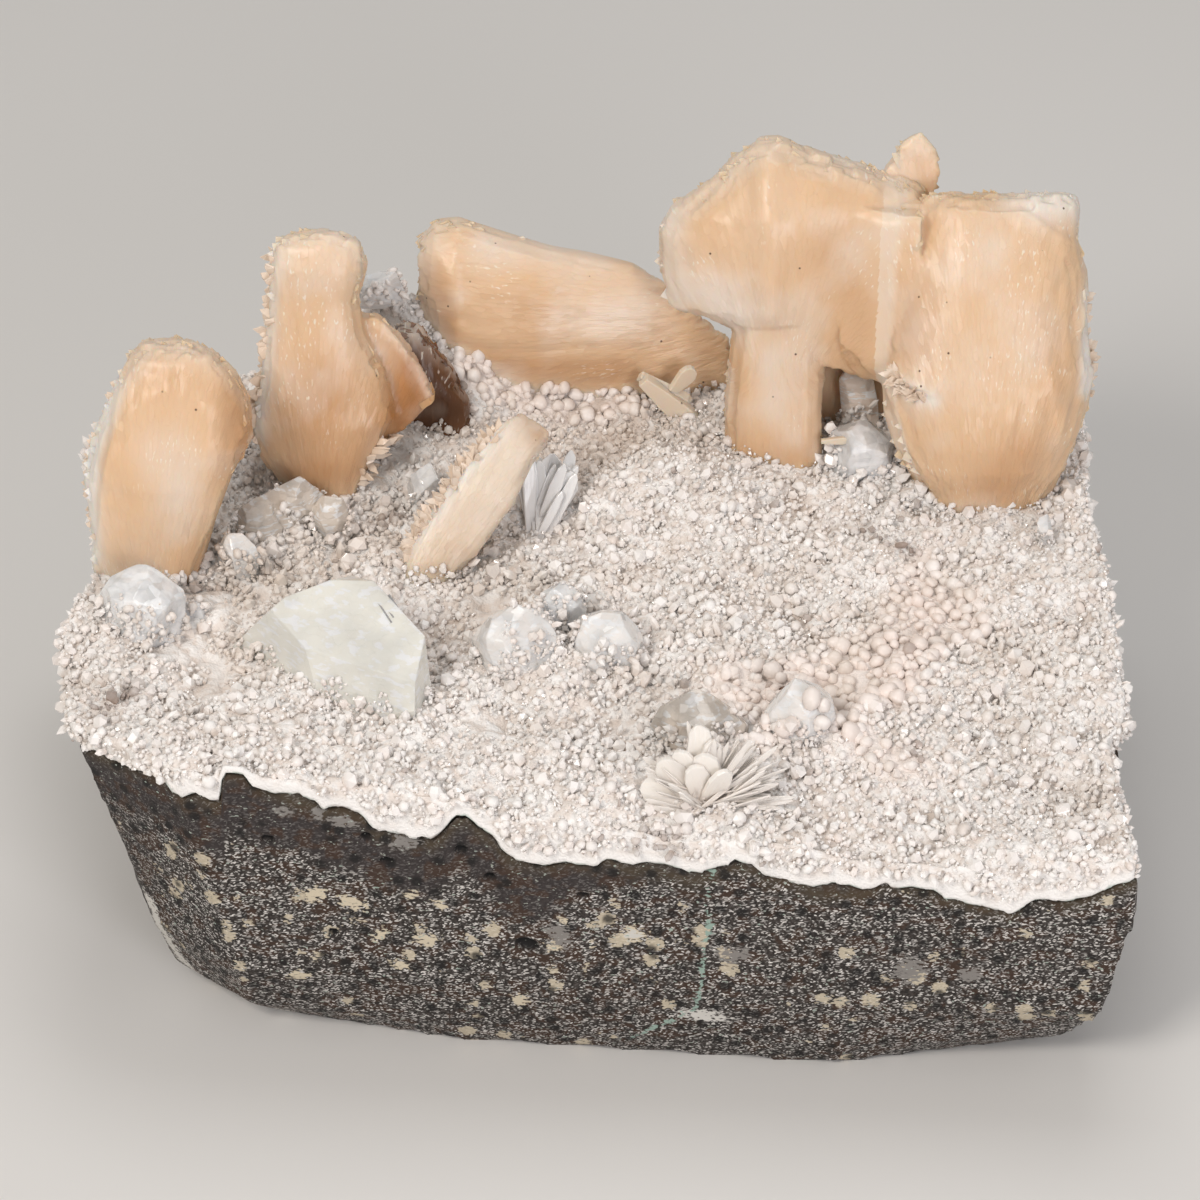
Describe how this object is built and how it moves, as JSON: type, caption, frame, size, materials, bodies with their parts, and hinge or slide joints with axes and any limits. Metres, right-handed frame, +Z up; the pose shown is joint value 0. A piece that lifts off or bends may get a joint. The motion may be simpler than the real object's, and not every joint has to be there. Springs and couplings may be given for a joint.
{
  "type": "apophyllite cluster",
  "caption": "Mineral specimen: clear and pale green apophyllite and peach stilbite sheaves on a white druse crust over a sawn block of dark basalt.",
  "frame": {"origin": "on the surface it rests on, below the middle of the whole specimen's box", "axes": "+X along the sawn front face to the viewer's right, +Y away from the viewer, +Z up"},
  "size_m": [0.1548, 0.1212, 0.0957],
  "materials": {
    "basalt": "sawn and broken dark grey-brown basalt with tiny white laths",
    "druse": "sparkling pinkish-white druse of small grains",
    "stilbite": "silky peach stilbite with fine fan striations",
    "pale_stilbite": "pale cream stilbite blades",
    "green_apophyllite": "pale mint-green see-through crystal with milky veils",
    "clear_crystal": "clear glassy crystal",
    "milky_crystal": "milky white crystal"
  },
  "bodies": {
    "root": {"basalt_matrix": "basalt", "druse_crust": "druse", "stilbite_left_sheaf": "stilbite", "stilbite_tall_sheaf": "stilbite", "stilbite_shadow_sheaf": "stilbite", "stilbite_reclining_sheaf": "stilbite", "stilbite_twin_sheaves": "stilbite", "stilbite_bow_tie": "pale_stilbite", "stilbite_small_blade": "pale_stilbite", "stilbite_rosette": "pale_stilbite", "apophyllite_large": "green_apophyllite", "apophyllite_left_edge": "clear_crystal", "apophyllite_left_small": "clear_crystal", "apophyllite_round_clear": "clear_crystal", "apophyllite_grey_block": "clear_crystal", "apophyllite_clear_back": "clear_crystal", "apophyllite_small_clear": "clear_crystal", "apophyllite_clear_group": "clear_crystal", "clear_striated_fan": "clear_crystal", "apophyllite_cream_block": "milky_crystal", "apophyllite_milky_block": "milky_crystal", "apophyllite_lilac_block": "milky_crystal", "white_left_block": "milky_crystal", "bright_white_crystal": "milky_crystal", "white_column_crystal": "milky_crystal", "lilac_ridge_crystal": "milky_crystal"}
  },
  "joints": []
}
